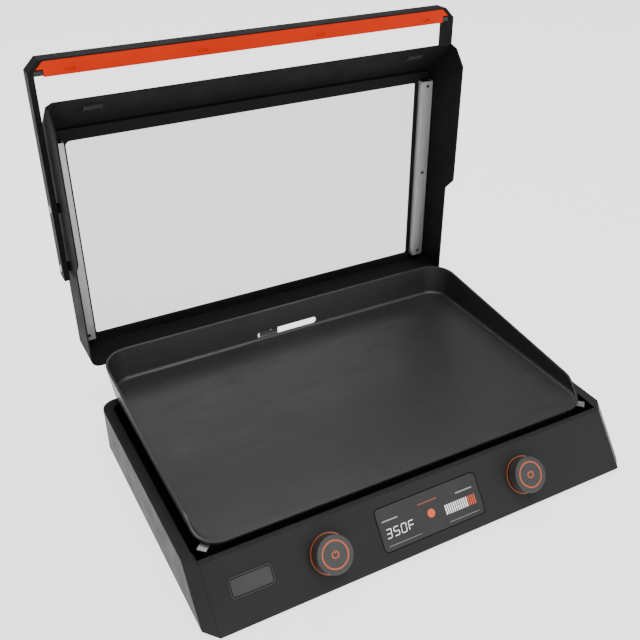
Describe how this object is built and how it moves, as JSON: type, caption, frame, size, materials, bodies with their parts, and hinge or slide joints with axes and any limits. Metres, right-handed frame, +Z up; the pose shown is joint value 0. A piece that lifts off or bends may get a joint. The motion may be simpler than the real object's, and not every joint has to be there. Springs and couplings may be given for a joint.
{
  "type": "electric griddle",
  "caption": "Tabletop electric griddle: low housing with sloping control panel and push-turn knobs, walled plate, rear grease cup and a hinged glazed hood, open.",
  "frame": {"origin": "on the table under the middle of the whole object, hood open", "axes": "+X to the object's right seen from the front, +Y to the back, +Z up"},
  "size_m": [0.64, 0.5348, 0.537],
  "materials": {
    "housing_paint": "satin powder coat, dark charcoal",
    "cover_steel": "satin, dark grey",
    "hood_paint": "satin enamel, near black",
    "handle_paint": "black anodised, satin",
    "grip_orange": "satin orange moulding",
    "plate_coating": "speckled non-stick coating over a casting",
    "pane_glass": "clear toughened glass",
    "strip_metal": "fine satin anodised",
    "bright_steel": "plain bright sheet",
    "zinc_steel": "zinc-plated",
    "hinge_steel": "satin black",
    "cup_steel": "drawn stainless",
    "foot_rubber": "matt",
    "seal_silicone": "matt silicone",
    "tube_sheath": "heat-darkened sheath",
    "black_plastic": "fine grained",
    "board_green": "solder mask",
    "window_plastic": "glossy black window",
    "knob_plastic": "satin dark grey",
    "inlay_orange": "orange ring",
    "ring_orange": "lit diffuser ring",
    "badge_metal": "blank brushed badge",
    "encoder_metal": "plated case"
  },
  "bodies": {
    "base": {"base_housing": "housing_paint", "front_fascia": "housing_paint", "cup_hanger": "housing_paint", "bottom_cover": "cover_steel", "heat_shield": "cover_steel", "griddle_plate": "plate_coating", "heat_reflector": "bright_steel", "plate_posts": "bright_steel", "plate_clips": "bright_steel", "element_supports": "bright_steel", "grease_lip": "bright_steel", "cover_screws": "zinc_steel", "rear_screws": "zinc_steel", "lip_screw": "zinc_steel", "hinge_pin_left": "zinc_steel", "hinge_pin_right": "zinc_steel", "hinge_bracket_left": "hinge_steel", "hinge_bracket_right": "hinge_steel", "rubber_feet": "foot_rubber", "heating_element_left": "tube_sheath", "heating_element_right": "tube_sheath", "temperature_probe_left": "tube_sheath", "temperature_probe_right": "tube_sheath", "display_module": "black_plastic", "power_inlet": "black_plastic", "thermal_cutoffs": "black_plastic", "control_board": "board_green", "power_board": "board_green", "display_window": "window_plastic", "knob_ring_left": "ring_orange", "knob_ring_right": "ring_orange", "badge_plate": "badge_metal", "encoder_left": "encoder_metal", "encoder_right": "encoder_metal"},
    "hood": {"hood_shell": "hood_paint", "glass_seal": "seal_silicone", "hood_glass": "pane_glass", "glass_frame": "hood_paint", "glass_strip_left": "strip_metal", "glass_strip_right": "strip_metal", "strip_screws": "hinge_steel", "lip_pads": "foot_rubber", "handle_frame": "handle_paint", "handle_grip": "grip_orange", "grip_clips": "black_plastic", "handle_spacers": "handle_paint", "handle_screws": "zinc_steel", "hinge_leaf_left": "hinge_steel", "hinge_leaf_right": "hinge_steel", "leaf_rivets": "zinc_steel"},
    "grease_cup": {"grease_cup": "cup_steel"},
    "left_plunger": {"encoder_plunger_left": "black_plastic"},
    "left_knob": {"knob_left": "knob_plastic", "knob_inlay_left": "inlay_orange", "encoder_shaft_left": "encoder_metal"},
    "right_plunger": {"encoder_plunger_right": "black_plastic"},
    "right_knob": {"knob_right": "knob_plastic", "knob_inlay_right": "inlay_orange", "encoder_shaft_right": "encoder_metal"}
  },
  "joints": [
    {"name": "hood_hinge", "type": "hinge", "parent": "base", "child": "hood", "pos_m": [0, 0.18735, 0.099], "axis": [1, 0, 0], "range_deg": [0, 90]},
    {"name": "grease_cup_slide", "type": "slide", "parent": "base", "child": "grease_cup", "axis": [0, 1, 0], "range_m": [0, 0.07]},
    {"name": "left_knob_push", "type": "slide", "parent": "base", "child": "left_plunger", "axis": [0, 0.778, -0.6283], "range_m": [0, 0.0015], "stiffness_N_per_m": 800, "springref_m": -0.003},
    {"name": "left_knob_turn", "type": "hinge", "parent": "left_plunger", "child": "left_knob", "pos_m": [-0.147, -0.23794, 0.03906], "axis": [0, -0.778, 0.6283], "continuous": true},
    {"name": "right_knob_push", "type": "slide", "parent": "base", "child": "right_plunger", "axis": [0, 0.778, -0.6283], "range_m": [0, 0.0015], "stiffness_N_per_m": 800, "springref_m": -0.003},
    {"name": "right_knob_turn", "type": "hinge", "parent": "right_plunger", "child": "right_knob", "pos_m": [0.147, -0.23794, 0.03906], "axis": [0, -0.778, 0.6283], "continuous": true}
  ]
}
